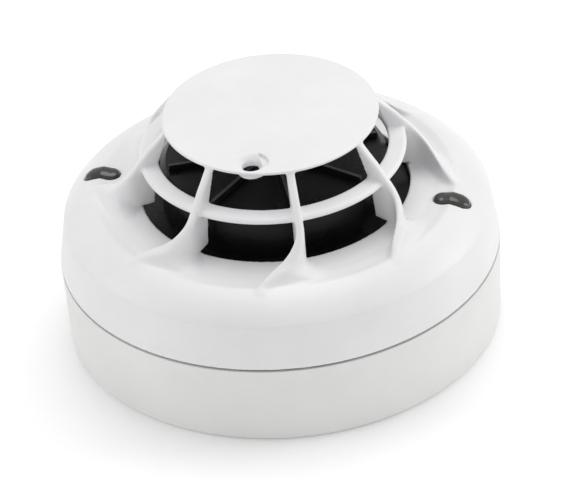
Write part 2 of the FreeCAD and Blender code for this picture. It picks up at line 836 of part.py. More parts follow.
def fin_wall(azimuth, bottom, top):
    """A thin upright wall that follows a fin's centreline, hooking clockwise towards the tip."""
    half = measure("fin_half_thickness")
    length = measure("fin_tip_radius") - FIN_ROOT_RADIUS
    sides = {1: [], -1: []}
    for step in range(FIN_STEPS + 1):
        radius = FIN_ROOT_RADIUS + length * step / FIN_STEPS
        here = plan_point(radius, azimuth + fin_sweep_at(radius))
        ahead = plan_point(radius + FIN_PROBE, azimuth + fin_sweep_at(radius + FIN_PROBE))
        along = (ahead - here).normalize()
        across = FreeCAD.Vector(-along.y, along.x, 0)
        for side, points in sides.items():
            points.append(here + across * (side * half))
    edges = []
    for points in sides.values():
        curve = Part.BSplineCurve()
        curve.interpolate(points)
        edges.append(curve.toShape())
    left, right = sides[1], sides[-1]
    edges.append(Part.LineSegment(left[0], right[0]).toShape())
    edges.append(Part.LineSegment(left[-1], right[-1]).toShape())
    face = Part.Face(Part.Wire(Part.__sortEdges__(edges)))
    face.translate(FreeCAD.Vector(0, 0, bottom))
    return face.extrude(FreeCAD.Vector(0, 0, top - bottom))


def plan_point(radius, azimuth):
    angle = math.radians(azimuth)
    return FreeCAD.Vector(radius * math.sin(angle), -radius * math.cos(angle), 0)


# Radius and height of points down a fin's crest, between the disc's edge and the tip.
FIN_CREST = ((28.9, 51.0), (32.1, 47.0), (35.2, 43.0), (37.3, 40.0), (39.0, 37.8))


def fin_envelope():
    """Everything between the fins' crests and their inner edges, turned about the axis."""
    def at(radius, height):
        return FreeCAD.Vector(measure(radius), 0, measure(height))

    disc_edge = at("disc_radius - 0.3", "disc_top - 0.4")
    tip = at("fin_tip_radius", "cover_rim_height - 0.6")
    crest = Part.BSplineCurve()
    crest.interpolate([disc_edge] + [at(*point) for point in FIN_CREST] + [tip])
    corners = [
        tip,
        at("fin_tip_radius", "scoop_height - 1.2"),
        at("vent_radius + 0.2", "scoop_height - 1.2"),
        at("vent_radius + 0.2", "fin_foot_height"),
        at("fin_foot_radius", "fin_foot_height"),
        at("fin_waist_radius", "ring_bottom + 0.2"),
        at("ring_inner_radius + 0.05", "ring_top"),
        at("fin_head_radius", "disc_bottom + 0.3"),
        disc_edge,
    ]
    edges = [crest.toShape()]
    edges += [Part.LineSegment(a, b).toShape() for a, b in zip(corners, corners[1:])]
    face = Part.Face(Part.Wire(Part.__sortEdges__(edges)))
    return face.revolve(FreeCAD.Vector(), FreeCAD.Vector(0, 0, 1), 360)


def fins():
    """The ring of fins as one shape: upright hooked walls trimmed to the envelope."""
    envelope = fin_envelope()
    step = 360.0 / measure("fin_count")
    walls = []
    for index in range(int(measure("fin_count"))):
        azimuth = measure("fin_azimuth") + index * step
        wall = fin_wall(azimuth, measure("scoop_height - 2"), measure("disc_top + 1"))
        walls.append(wall.common(envelope).Solids[0])
    item = doc.addObject("Part::Feature", "fin_walls")
    item.Shape = Part.Compound(walls)
    return item


def cover_post(index, azimuth):
    """A screw post under the shoulder."""
    post = cylinder(f"cover_post_{index}", "cover_post_radius", "cover_post_bottom",
                    "cover_rim_height - 1.2", 0, "- cover_screw_place")
    return turn(post, azimuth)


def pilot_hole(index, azimuth):
    hole = cylinder(f"pilot_hole_{index}", "cover_screw_radius + thread_gap", "cover_post_bottom - 1",
                    "cover_post_bottom + cover_screw_grip + 1", 0, "- cover_screw_place")
    return turn(hole, azimuth)


def window_column(name, margin, bottom, top):
    """An upright column with the window's oval outline, at the front."""
    oval = doc.addObject("Part::Ellipse", f"{name}_oval")
    bind(oval, MajorRadius=f"window_half_length + {margin}", MinorRadius=f"window_half_width + {margin}")
    oval.Placement.Rotation = FreeCAD.Rotation(FreeCAD.Vector(0, 0, 1), 90)
    place(oval, 0, "- window_place", bottom)
    column = doc.addObject("Part::Extrusion", name)
    column.Base = oval
    column.DirMode = "Custom"
    column.Dir = FreeCAD.Vector(0, 0, 1)
    column.Solid = True
    return bind(column, LengthFwd=f"( {top} ) - ( {bottom} )")


def window_azimuths():
    first = measure("window_azimuth")
    return (("right", first), ("left", first - 180))


def outer_cover():
    """The cover's moulding in four nodes that meet face to face: shell, ring, disc and fins."""
    holes = around(4, measure("cover_screw_azimuth"), pilot_hole)
    for side, bearing in window_azimuths():
        holes.append(turn(window_column(f"window_hole_{side}", "window_gap", "cover_rim_height - 6",
                                        "cover_rim_height + 3"), bearing))
    posts = around(4, measure("cover_screw_azimuth"), cover_post)
    solids = fuse("cover_solids", [cover_shell("cover_shell")] + posts)
    shell = cut("outer_cover", solids, fuse("cover_holes", holes))
    ring = vent_ring()
    plate = cover_disc()
    walls = cut("cover_fins", fins(), fuse("fin_neighbours", [cover_shell("fin_seat"), ring, plate]))
    return [shell, ring, plate, walls]


def cover_disc():
    """The disc with a small boss beneath its hole; the hole's mouth is dished."""
    front = ("0", "- hole_place")
    boss = cone("hole_boss", "hole_boss_foot_radius", "hole_boss_radius", "hole_boss_bottom",
                "disc_bottom + 0.3", *front)
    funnel = cone("hole_funnel", "hole_radius", "funnel_radius", "funnel_bottom", "disc_top + 0.01", *front)
    bore = cylinder("hole_bore", "hole_radius", "hole_boss_bottom - 1", "disc_top", *front)
    azimuth = measure("hole_azimuth")
    solid = fuse("disc_solids", [disc(), turn(boss, azimuth)])
    return cut("cover_disc", solid, fuse("disc_holes", [turn(funnel, azimuth), turn(bore, azimuth)]))


def light_guide(side, azimuth):
    """A smoked lens in the shoulder with a stem that carries the lamp's light up to it."""
    column = window_column(f"guide_head_{side}", "0", "guide_head_bottom", "cover_rim_height + 3")
    skin = revolved(f"guide_skin_{side}", [
        ("0", "guide_head_bottom - 1"),
        ("cover_crease_radius + 1", "guide_head_bottom - 1"),
        ("cover_crease_radius + window_rise - 2", "cover_crease_height + 2 + window_rise"),
        ("cover_rim_radius + 0.2", "cover_rim_height + window_rise"),
        ("0", "scoop_height + window_rise"),
    ], {2: "cover_shoulder_round"})
    head = common(f"guide_dome_{side}", column, skin)
    stem = cylinder(f"guide_stem_{side}", "guide_stem_radius", "guide_bottom", "guide_head_bottom + 0.5", 0,
                    "- guide_stem_place")
    return turn(fuse(f"light_guide_{side}", [head, stem]), azimuth)


def alarm_lamp(side, azimuth):
    """A surface-mount lamp on the board under each light guide."""
    top = f"{BOARD_TOP} + lamp_height"
    case = box(f"lamp_case_{side}", "lamp_length", "lamp_width", BOARD_TOP, top, 0, "- guide_stem_place")
    dome = cylinder(f"lamp_dome_{side}", "lamp_height", f"{top} - 0.1", f"{top} + lamp_dome_height", 0,
                    "- guide_stem_place")
    return turn(fuse(f"alarm_lamp_{side}", [case, dome]), azimuth)


# ---- the whole assembly ----


def build():
    """Every sub-part, in the order in which the detector goes together."""
    terminals = int(measure("terminal_count"))
    first = measure("terminal_azimuth")
    nodes = [mounting_base()]
    nodes += around(terminals, first, terminal_plate)
    nodes += around(terminals, first, contact_spring)
    nodes.append(group("clamp_plates", around(terminals, first, clamp_plate)))
    nodes.append(group("terminal_screws", around(terminals, first, terminal_screw)))
    nodes.append(locking_tab())
    nodes.append(rear_housing())
    nodes += around(terminals, first, contact_blade)
    nodes.append(group("blade_rivets", around(terminals, first, blade_rivet)))
    nodes.append(circuit_board())
    nodes += [microcontroller(), line_interface_chip(), reed_switch(), reference_thermistor()]
    nodes.append(group("filter_capacitors", [filter_capacitor(0, 0), filter_capacitor(1, 205)]))
    nodes.append(group("chip_resistors", around(6, 20, chip_resistor)))
    for name, azimuth in dial_places():
        nodes += [address_switch(name, azimuth), address_dial(name, azimuth)]
    nodes += [inner_chamber(), chamber_flange(), thermistor_holder(), thermistor_leads(), thermistor_bead()]
    for side, azimuth in window_azimuths():
        nodes += [alarm_lamp(side, azimuth), light_guide(side, azimuth)]
    nodes.append(seal_ring())
    nodes += outer_cover()
    nodes.append(group("cover_screws", around(4, measure("cover_screw_azimuth"), cover_screw)))
    return nodes


def check(nodes):
    """Stops before anything is written if an object failed or a sub-part is not whole."""
    failed = [item.Name for item in doc.Objects if {"Invalid", "Error"} & set(item.State)]
    if failed:
        raise RuntimeError(f"objects that failed: {failed}")
    for node in nodes:
        if node.Shape.isNull() or not node.Shape.isValid() or not node.Shape.Solids:
            raise RuntimeError(f"sub-part without a sound solid: {node.Label}")


fill_sheet()
subparts = build()
doc.recompute()
check(subparts)
for subpart in subparts:
    subpart.Label = subpart.Name
    subpart.Shape.exportStep(f"parts/{subpart.Name}.step")
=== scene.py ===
import json
import math

import bpy
import numpy as np
import openvdb
from mathutils import Matrix, Vector


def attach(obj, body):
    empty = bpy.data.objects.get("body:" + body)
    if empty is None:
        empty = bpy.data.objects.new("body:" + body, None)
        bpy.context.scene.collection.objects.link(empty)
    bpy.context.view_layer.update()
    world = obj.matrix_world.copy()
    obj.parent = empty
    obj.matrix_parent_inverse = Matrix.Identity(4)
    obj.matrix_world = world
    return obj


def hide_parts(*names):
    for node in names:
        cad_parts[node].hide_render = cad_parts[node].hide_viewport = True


MM = 0.001

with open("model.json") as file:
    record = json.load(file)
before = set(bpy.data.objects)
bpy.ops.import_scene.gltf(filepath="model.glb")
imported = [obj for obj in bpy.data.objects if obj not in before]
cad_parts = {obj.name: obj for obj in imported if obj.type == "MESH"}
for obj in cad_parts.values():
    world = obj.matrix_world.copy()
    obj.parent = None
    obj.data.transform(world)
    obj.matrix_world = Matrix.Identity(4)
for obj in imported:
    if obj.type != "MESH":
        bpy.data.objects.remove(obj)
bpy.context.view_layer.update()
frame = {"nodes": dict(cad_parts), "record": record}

# ---- moulded shapes as distance fields, in millimetres ----

# Grid step, and the distance that stands for everything far outside a shape.
VOXEL, FAR_OUTSIDE = 0.3, 3.0


def smooth_min(a, b, reach):
    """Union of two fields with a fillet of about the reach."""
    share = np.clip(0.5 + 0.5 * (b - a) / reach, 0.0, 1.0)
    return b + (a - b) * share - reach * share * (1.0 - share)


def smooth_max(a, b, reach):
    """Overlap of two fields with a rounded edge."""
    return -smooth_min(-a, -b, reach)


def outline_field(corners, across, up):
    """Signed distance from a closed outline, negative inside, at points given by two arrays."""
    nearest = np.full(across.shape, np.inf)
    inside = np.zeros(across.shape, dtype=bool)
    for (x0, y0), (x1, y1) in zip(corners, corners[1:] + corners[:1]):
        dx, dy = x1 - x0, y1 - y0
        px, py = across - x0, up - y0
        along = np.clip((px * dx + py * dy) / (dx * dx + dy * dy), 0.0, 1.0)
        nearest = np.minimum(nearest, (px - along * dx) ** 2 + (py - along * dy) ** 2)
        if dy:
            crosses = (y0 > up) != (y1 > up)
            inside ^= crosses & (px < dx * py / dy)
    distance = np.sqrt(nearest)
    return np.where(inside, -distance, distance)


def arc_points(start, end, radius, count=12):
    """Points of a round stretch from start to end that bulges to the right of that direction."""
    a, b = Vector(start), Vector(end)
    chord = b - a
    normal = Vector((chord.y, -chord.x)).normalized()
    centre = (a + b) / 2 - normal * math.sqrt(radius**2 - (chord.length / 2) ** 2)
    first = math.atan2(a.y - centre.y, a.x - centre.x)
    last = math.atan2(b.y - centre.y, b.x - centre.x)
    angles = np.linspace(first, last, count)
    return [(centre.x + radius * math.cos(t), centre.y + radius * math.sin(t)) for t in angles]


def mesh_object(name, field, low, voxel=VOXEL):
    """Turns a field sampled from the corner low into a smooth-shaded mesh object."""
    grid = openvdb.FloatGrid(background=FAR_OUTSIDE)
    grid.copyFromArray(field.astype(np.float32))
    points, quads = grid.convertToQuads(isovalue=0.0)
    points = (points * voxel + np.array(low)) * MM
    mesh = bpy.data.meshes.new(name)
    mesh.vertices.add(len(points))
    mesh.vertices.foreach_set("co", points.astype(np.float32).ravel())
    mesh.loops.add(quads.size)
    mesh.loops.foreach_set("vertex_index", quads[:, ::-1].astype(np.int32).ravel())
    mesh.polygons.add(len(quads))
    mesh.polygons.foreach_set("loop_start", np.arange(0, quads.size, 4, dtype=np.int32))
    mesh.update(calc_edges=True)
    mesh.validate()
    mesh.polygons.foreach_set("use_smooth", np.ones(len(mesh.polygons), dtype=bool))
    item = bpy.data.objects.new(name, mesh)
    bpy.context.scene.collection.objects.link(item)
    return item


# ---- outer cover: radii from the axis, heights above the ceiling face, azimuths in degrees ----

DISC_RADIUS, DISC_BOTTOM, DISC_TOP = 24.9, 54.65, 55.83
DISC_CHAMFER, DISC_LIP, DISC_ROUND = 1.1, 0.5, 0.15
RING_INNER, RING_OUTER, RING_BOTTOM, RING_TOP = 26.65, 30.8, 45.6, 47.2
RING_ROUND = 0.2
VENT_RADIUS, SCOOP_HEIGHT = 31.0, 36.0
RIM_RADIUS, RIM_HEIGHT = 41.4, 35.8
RIM_DISH = [(39.6, 35.5), (36.5, 35.45)]
CREASE_RADIUS, CREASE_HEIGHT, SHOULDER_ROUND = 49.4, 30.6, 13.0
SKIRT_RADIUS, SKIRT_BOTTOM, WALL = 51.0, 20.1, 1.8

# The fins run straight from the start, then sweep back towards the tip and thin out there.
FIN_COUNT, FIN_AZIMUTH, FIN_HALF = 8, 8.34, 0.93
FIN_START, FIN_STRAIGHT, FIN_TIP, FIN_POINTS = 22.0, 32.0, 42.2, 60
FIN_SWEEP, FIN_REACH, FIN_POWER = 14.8, 7.75, 2.3
FIN_SWEEP_END, FIN_SWEEP_FADE = 15.5, 4.0
FIN_THIN_RADII, FIN_THIN_SHARES = [38.5, 41.8], [1.0, 0.4]
FIN_CREST = [
    (28.9, 51.0), (32.1, 47.0), (35.2, 43.0), (37.3, 40.0), (39.1, 38.0),
    (40.4, 36.8), (41.3, 35.9), (42.3, 35.0), (42.5, 34.6),
]
FIN_UNDERSIDE, FIN_SET_IN = 34.6, 0.2
# Inner edges are crisp and crests softer; the change happens about this line.
FIN_EDGE_HEIGHTS, FIN_EDGE_RADII = [SCOOP_HEIGHT - 2.0, RING_TOP, DISC_TOP], [31.8, 29.4, 24.4]
EDGE_CRISP, EDGE_SOFTER, EDGE_CHANGE = 0.3, 0.5, 1.5

# Fillets between a fin and the shell: tight inside, wide outside, widest in the scoop on one side.
FILLET_TIGHT, FILLET_WIDE, FILLET_SCOOP, FILLET_SIDE = 0.7, 1.2, 4.2, 0.5
FILLET_FROM, FILLET_SPAN = 31.5, 5.0
SCOOP_END, SCOOP_FADE = 41.5, 2.5
RING_FILLET, BOSS_FILLET, DISC_FILLET = 0.5, 0.6, 0.5

WINDOW_AZIMUTH, WINDOW_PLACE, WINDOW_LENGTH, WINDOW_WIDTH = 74.6, 41.4, 4.2, 2.1
WINDOW_GAP, WINDOW_FLOOR, WINDOW_ROUND = 0.12, 30.5, 0.4
POST_PLACE, POST_AZIMUTH, POST_RADIUS = 39.5, 25.0, 3.2
POST_BOTTOM, POST_TOP = 17.0, RIM_HEIGHT - 1.2
POST_COUNT, PILOT_RADIUS, PILOT_DEPTH = 4, 1.3, 8

# The small hole near the front: dished mouth, bulge under the disc, and the ridge and recess beside it.
HOLE_PLACE, HOLE_AZIMUTH, HOLE_RADIUS, HOLE_ROUND = 20.4, -14.2, 2.15, 0.3
FUNNEL_RADIUS, FUNNEL_DEPTH, FUNNEL_POWER = 3.85, 1.4, 1.5
BOSS_RADIUS, BOSS_DEPTH, BOSS_TAPER, BOSS_POWER = 3.5, 1.45, 0.15, 1.6
RIDGE_FAR, RIDGE_HALF_LENGTH, RIDGE_TURN = 2.45, 3.2, 15.3
RIDGE_FOOT, RIDGE_CREST = 1.75, 2.05
RECESS_DEPTH, RECESS_ROUND = 0.9, 0.2
GATE_DIP, GATE_RADIUS, GATE_WIDTH = 0.07, 1.3, 0.35

# Sections are drawn as tables from the axis outwards; solid discs cross the axis by the overshoot.
PROFILE_STEP, PROFILE_REACH, AXIS_OVERSHOOT = 0.1, 1.5, -60.0


def plan_point(radius, azimuth):
    """A point seen from above; azimuths run from the front (-Y) towards +X."""
    angle = math.radians(azimuth)
    return radius * math.sin(angle), -radius * math.cos(angle)


def rising(value, start, span):
    """0 before the start, 1 after the span, straight between."""
    return np.clip((value - start) / span, 0.0, 1.0)


def shell_surface():
    """The shell's outer side in section, from the crease over the rim to the vent."""
    shoulder = arc_points((CREASE_RADIUS, CREASE_HEIGHT), (RIM_RADIUS, RIM_HEIGHT), SHOULDER_ROUND)
    return shoulder + RIM_DISH + [(VENT_RADIUS, SCOOP_HEIGHT)]


def shell_outline():
    """The shell's closed section: skirt, outer side and the inner wall back down."""
    return [(SKIRT_RADIUS, SKIRT_BOTTOM)] + shell_surface() + [
        (VENT_RADIUS, SCOOP_HEIGHT - WALL + 0.2),
        (RIM_RADIUS - 0.6, RIM_HEIGHT - WALL),
        (CREASE_RADIUS - WALL, CREASE_HEIGHT - 0.7),
        (SKIRT_RADIUS - WALL, SKIRT_BOTTOM),
    ]


def fin_envelope():
    """The outline between the fins' crests and their inner edges, from the disc round to the ring."""
    return [
        (23.8, DISC_BOTTOM + 0.3),
        (DISC_RADIUS - 0.3, DISC_TOP - 0.4),
    ] + FIN_CREST + [
        (VENT_RADIUS + FIN_SET_IN, FIN_UNDERSIDE),
        (VENT_RADIUS + FIN_SET_IN, SCOOP_HEIGHT + 0.6),
        (28.2, SCOOP_HEIGHT + 0.9),
        (27.3, RING_BOTTOM),
        (26.7, RING_TOP),
    ]


def ring_outline():
    """The tie ring's section, drawn in by its edge rounding."""
    return [
        (RING_INNER + RING_ROUND, RING_BOTTOM + RING_ROUND),
        (RING_OUTER - 0.5, RING_BOTTOM + RING_ROUND),
        (RING_OUTER - RING_ROUND, RING_BOTTOM + 0.6),
        (RING_OUTER - 0.7, RING_TOP - 0.4),
        (RING_INNER + RING_ROUND, RING_TOP - RING_ROUND),
    ]


def disc_outline():
    """The disc's section, chamfered below and drawn in by its edge rounding."""
    return [
        (AXIS_OVERSHOOT, DISC_BOTTOM + DISC_ROUND),
        (DISC_RADIUS - DISC_CHAMFER, DISC_BOTTOM + DISC_ROUND),
        (DISC_RADIUS - DISC_ROUND, DISC_TOP - DISC_LIP),
        (DISC_RADIUS - DISC_ROUND, DISC_TOP - DISC_ROUND),
        (AXIS_OVERSHOOT, DISC_TOP - DISC_ROUND),
    ]


def fin_centreline():
    """Plan points of one fin at azimuth zero, from inside to the hooked tip."""
    points = []
    for radius in np.linspace(FIN_START, FIN_TIP, FIN_POINTS):
        reach = max(0.0, radius - FIN_STRAIGHT) / FIN_REACH
        swing = FIN_SWEEP * reach**FIN_POWER
        swing /= (1.0 + (swing / FIN_SWEEP_END) ** FIN_SWEEP_FADE) ** (1.0 / FIN_SWEEP_FADE)
        points.append(plan_point(radius, -swing))
    return points


def fin_distance(azimuth, radius):
    """Signed distance across the nearest fin's centreline, positive on its counter-clockwise side."""
    step = 360.0 / FIN_COUNT
    local = (np.degrees(azimuth) - FIN_AZIMUTH + step / 2) % step - step / 2
    line = fin_centreline()
    best = np.full(radius.shape, np.inf)
    side = np.zeros(radius.shape)
    for neighbour in (-step, 0.0, step):
        turned = np.radians(local - neighbour)
        x, y = radius * np.sin(turned), -radius * np.cos(turned)
        for (x0, y0), (x1, y1) in zip(line, line[1:]):
            dx, dy = x1 - x0, y1 - y0
            px, py = x - x0, y - y0
            along = np.clip((px * dx + py * dy) / (dx * dx + dy * dy), 0.0, 1.0)
            distance = (px - along * dx) ** 2 + (py - along * dy) ** 2
            closer = distance < best
            best = np.where(closer, distance, best)
            side = np.where(closer, dx * py - dy * px, side)
    return np.copysign(np.sqrt(best), side)


def fin_fillet(fin, radius):
    """How wide the fillet between a fin and the shell is."""
    counter = 1.0 / (1.0 + np.exp(-fin / FILLET_SIDE))
    scoop = FILLET_SCOOP * counter * np.clip((SCOOP_END - radius) / SCOOP_FADE, 0.0, 1.0)
    return FILLET_TIGHT + rising(radius, FILLET_FROM, FILLET_SPAN) * (FILLET_WIDE + scoop)


def column_distance(x, y, place, azimuth, radius):
    """Distance from an upright round column."""
    cx, cy = plan_point(place, azimuth)
    return np.hypot(x - cx, y - cy) - radius


def nearest_post(x, y, radius):
    """Distance from the nearest of the four upright columns at the screw posts."""
    turns = [POST_AZIMUTH + 360 / POST_COUNT * turn for turn in range(POST_COUNT)]
    return np.minimum.reduce([column_distance(x, y, POST_PLACE, turn, radius) for turn in turns])


def window_distance(x, y, azimuth, margin):
    """Distance from an upright round-ended column whose long axis points outwards."""
    cx, cy = plan_point(WINDOW_PLACE, azimuth)
    ox, oy = plan_point(1.0, azimuth)
    out = (x - cx) * ox + (y - cy) * oy
    side = (x - cx) * oy - (y - cy) * ox
    past_end = np.maximum(np.abs(out) - (WINDOW_LENGTH - WINDOW_WIDTH), 0.0)
    return np.hypot(past_end, side) - WINDOW_WIDTH - margin


def hole_axes(x, y):
    """Distances from the hole's centre across and along the straight ridge beside it."""
    cx, cy = plan_point(HOLE_PLACE, HOLE_AZIMUTH)
    turn = math.radians(RIDGE_TURN)
    across = (x - cx) * math.cos(turn) + (y - cy) * math.sin(turn)
    along = (y - cy) * math.cos(turn) - (x - cx) * math.sin(turn)
    return across, along


def ridge_face(z):
    """Where the ridge's near face stands at a height; it leans outwards as it rises."""
    return np.interp(z, [DISC_BOTTOM - 1.0, DISC_TOP], [RIDGE_FOOT, RIDGE_CREST])


def gate_mark(radius):
    """How far the moulding's gate mark, a faint ring at the disc's centre, dips."""
    return GATE_DIP * np.exp(-((radius - GATE_RADIUS) / GATE_WIDTH) ** 2)


def hole_boss(distance, z):
    """The bulge under the disc that carries the hole."""
    depth = max(0.0, DISC_BOTTOM + 0.2 - z)
    ends = max(DISC_BOTTOM - BOSS_DEPTH - z, z - DISC_TOP + 0.7)
    return np.maximum(distance - BOSS_RADIUS + BOSS_TAPER * depth**BOSS_POWER, ends)


def hole_funnel(distance, z):
    """The dished mouth and straight bore of the hole."""
    rise = max(0.0, z - (DISC_TOP - FUNNEL_DEPTH)) / FUNNEL_DEPTH
    return distance - HOLE_RADIUS - (FUNNEL_RADIUS - HOLE_RADIUS) * rise**FUNNEL_POWER


def cover_field(xs, ys, zs):
    """The cover's field: shell, fins, ring, disc, screw posts, hole and windows."""
    x, y = np.meshgrid(xs, ys, indexing="ij")
    radius, azimuth = np.hypot(x, y), np.arctan2(x, -y)
    radii = np.arange(0.0, xs[-1] * PROFILE_REACH, PROFILE_STEP)
    section = np.meshgrid(radii, zs, indexing="ij")
    shell = outline_field(shell_outline(), *section)
    envelope = outline_field(fin_envelope(), *section)
    ring = outline_field(ring_outline(), *section) - RING_ROUND
    disc = outline_field(disc_outline(), *section) - DISC_ROUND
    fin = fin_distance(azimuth, radius)
    fillet = fin_fillet(fin, radius)
    half = FIN_HALF * np.interp(radius, FIN_THIN_RADII, FIN_THIN_SHARES)
    across, along = hole_axes(x, y)
    post, pilot = nearest_post(x, y, POST_RADIUS), nearest_post(x, y, PILOT_RADIUS)
    windows = [window_distance(x, y, WINDOW_AZIMUTH + 180 * turn, WINDOW_GAP) for turn in range(2)]
    window = np.minimum.reduce(windows)
    bore = column_distance(x, y, HOLE_PLACE, HOLE_AZIMUTH, 0.0)

    def spun(table, layer):
        return np.interp(radius, radii, table[:, layer])

    field = np.empty(x.shape + zs.shape, dtype=np.float32)
    for layer, z in enumerate(zs):
        inner_edge = np.interp(z, FIN_EDGE_HEIGHTS, FIN_EDGE_RADII)
        softer = np.clip((radius - inner_edge) / EDGE_CHANGE + 0.5, 0.0, 1.0)
        wall = smooth_max(np.abs(fin) - half, spun(envelope, layer), EDGE_CRISP + EDGE_SOFTER * softer)
        solid = smooth_min(spun(shell, layer), wall, fillet)
        solid = smooth_min(solid, spun(ring, layer), RING_FILLET)
        plate = smooth_min(spun(disc, layer), hole_boss(bore, z), BOSS_FILLET)
        solid = smooth_min(solid, plate, DISC_FILLET)
        solid = np.minimum(solid, np.maximum(post, max(POST_BOTTOM - z, z - POST_TOP)))
        solid = np.maximum(solid, -np.maximum(pilot, z - POST_BOTTOM - PILOT_DEPTH))
        solid = smooth_max(solid, -np.maximum(window, WINDOW_FLOOR - z), WINDOW_ROUND)
        mouth = np.maximum(hole_funnel(bore, z), across - ridge_face(z))
        solid = smooth_max(solid, -mouth, HOLE_ROUND)
        beyond = np.maximum(np.maximum(bore - FUNNEL_RADIUS, RIDGE_FAR - across), DISC_TOP - RECESS_DEPTH - z)
        recess = np.maximum(beyond, np.abs(along) - RIDGE_HALF_LENGTH)
        solid = smooth_max(solid, -recess, RECESS_ROUND)
        solid = solid + gate_mark(radius) * (z > DISC_BOTTOM + 0.6)
        field[:, :, layer] = solid
    return field


def make_cover():
    """The shell, fins, ring and disc as the one moulding they are on the real cover."""
    spare = 4 * VOXEL
    reach = SKIRT_RADIUS + spare
    xs = np.arange(-reach, reach, VOXEL)
    zs = np.arange(POST_BOTTOM - spare, DISC_TOP + spare, VOXEL)
    cover = mesh_object("cover_skin", cover_field(xs, xs, zs), (xs[0], xs[0], zs[0]))
    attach(cover, "head")
    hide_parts("outer_cover", "vent_ring", "cover_disc", "cover_fins")
    return cover


# ---- seal, with a lip of painted shade in the seam ----

# The lip reaches out into the gap between base and cover, so that its black rubber stands in for the seam's
# shade.
SEAL_AND_SEAM_SHADE_PROFILE = (
    (48.3, 19.75), (48.38, 19.68), (50.2, 19.68), (50.3, 19.76), (50.3, 19.97), (50.2, 20.04), (48.95, 20.05),
    (48.78, 20.2), (48.74, 21.3), (48.88, 21.7), (48.88, 21.95), (48.7, 22.22), (48.4, 22.28), (48.1, 22.1),
    (48.03, 21.8), (48.15, 21.5), (48.3, 21.3),
)
SEAL_STEPS = 256


def build_seal_and_seam_shade():
    """The rubber ring with the lip that closes the seam, turned about the axis; the lip is black rubber out
    in the seam gap, as painted shade there.
    """
    points, faces = [], []
    count = len(SEAL_AND_SEAM_SHADE_PROFILE)
    for step in range(SEAL_STEPS):
        angle = 2 * math.pi * step / SEAL_STEPS
        following = (step + 1) % SEAL_STEPS
        for index, (radius, height) in enumerate(SEAL_AND_SEAM_SHADE_PROFILE):
            points.append((radius * math.cos(angle) * MM, radius * math.sin(angle) * MM, height * MM))
            after = (index + 1) % count
            faces.append((step * count + index, following * count + index,
                          following * count + after, step * count + after))
    mesh = bpy.data.meshes.new("seal_with_seam_shade_lip")
    mesh.from_pydata(points, [], faces)
    mesh.polygons.foreach_set("use_smooth", np.ones(len(faces), dtype=bool))
    seal = bpy.data.objects.new("seal_with_seam_shade_lip", mesh)
    bpy.context.scene.collection.objects.link(seal)
    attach(seal, "head")
    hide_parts("seal_ring")
    return seal


# ---- lenses ----

LENS_VOXEL, LENS_BOTTOM, LENS_RISE, LENS_EDGE = 0.16, 32.6, 0.75, 0.12
LENS_ROUND, LENS_SLOPE = 0.2, 0.8
STEM_PLACE, STEM_RADIUS, STEM_BOTTOM, STEM_OVERLAP, STEM_FILLET = 39.4, 2.0, 21.3, 0.5, 0.3


def lens_field(xs, ys, zs, azimuth):
    """A domed lens that follows the shoulder, with the stem that lights it."""
    x, y = np.meshgrid(xs, ys, indexing="ij")
    radius = np.hypot(x, y)
    column = window_distance(x, y, azimuth, 0.0)
    stem = column_distance(x, y, STEM_PLACE, azimuth, STEM_RADIUS)
    outer_radii, outer_heights = zip(*sorted(shell_surface()))
    surface = np.interp(radius, outer_radii, outer_heights)
    bulge = np.sqrt(np.clip(1.0 - (1.0 + column / WINDOW_WIDTH) ** 2, 0.0, 1.0))
    top = surface + LENS_EDGE + LENS_RISE * bulge
    field = np.empty(x.shape + zs.shape, dtype=np.float32)
    for layer, z in enumerate(zs):
        dome = smooth_max(column, (z - top) * LENS_SLOPE, LENS_ROUND)
        head = smooth_max(dome, LENS_BOTTOM - z, LENS_ROUND)
        foot = np.maximum(stem, max(STEM_BOTTOM - z, z - LENS_BOTTOM - STEM_OVERLAP))
        field[:, :, layer] = smooth_min(head, foot, STEM_FILLET)
    return field


def make_lens(side, azimuth):
    """One alarm lamp's lens with its stem."""
    cx, cy = plan_point(WINDOW_PLACE, azimuth)
    reach = WINDOW_LENGTH + 1.0
    xs = np.arange(cx - reach, cx + reach, LENS_VOXEL)
    ys = np.arange(cy - reach, cy + reach, LENS_VOXEL)
    zs = np.arange(STEM_BOTTOM - 0.6, RIM_HEIGHT + LENS_RISE + 0.8, LENS_VOXEL)
    lens = mesh_object(f"lens_{side}", lens_field(xs, ys, zs, azimuth), (xs[0], ys[0], zs[0]), LENS_VOXEL)
    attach(lens, "head")
    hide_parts(f"light_guide_{side}")
    return lens


# ---- materials: lengths in metres ----

# The middle range of a noise, which is spread over a whole range of values.
NOISE_LOW, NOISE_HIGH = 0.3, 0.7
# Scales of slow marks and of fine grain.
FLOW_SCALE, RUB_SCALE, SPOT_SCALE, STREAK_SCALE = 45.0, 120.0, 160.0, 900.0
# The chamber's rib crests: the heights between which a painted highlight fades in on them, and its colour.
RIB_HIGHLIGHT_BOTTOM, RIB_HIGHLIGHT_TOP, RIB_HIGHLIGHT_COLOUR = 0.0458, 0.0460, (0.085, 0.083, 0.086)


def material(name, colour, roughness, build, sockets):
    """A shader whose constants sit on its own sockets; build adds the procedural detail."""
    made = bpy.data.materials.new(name)
    made.use_nodes = True
    nodes, links = made.node_tree.nodes, made.node_tree.links
    shader = nodes["Principled BSDF"]
    shader.inputs["Base Color"].default_value = (*colour, 1.0)
    shader.inputs["Roughness"].default_value = roughness
    for socket, value in sockets.items():
        shader.inputs[socket].default_value = value
    build(nodes, links, shader, colour, roughness)
    return made


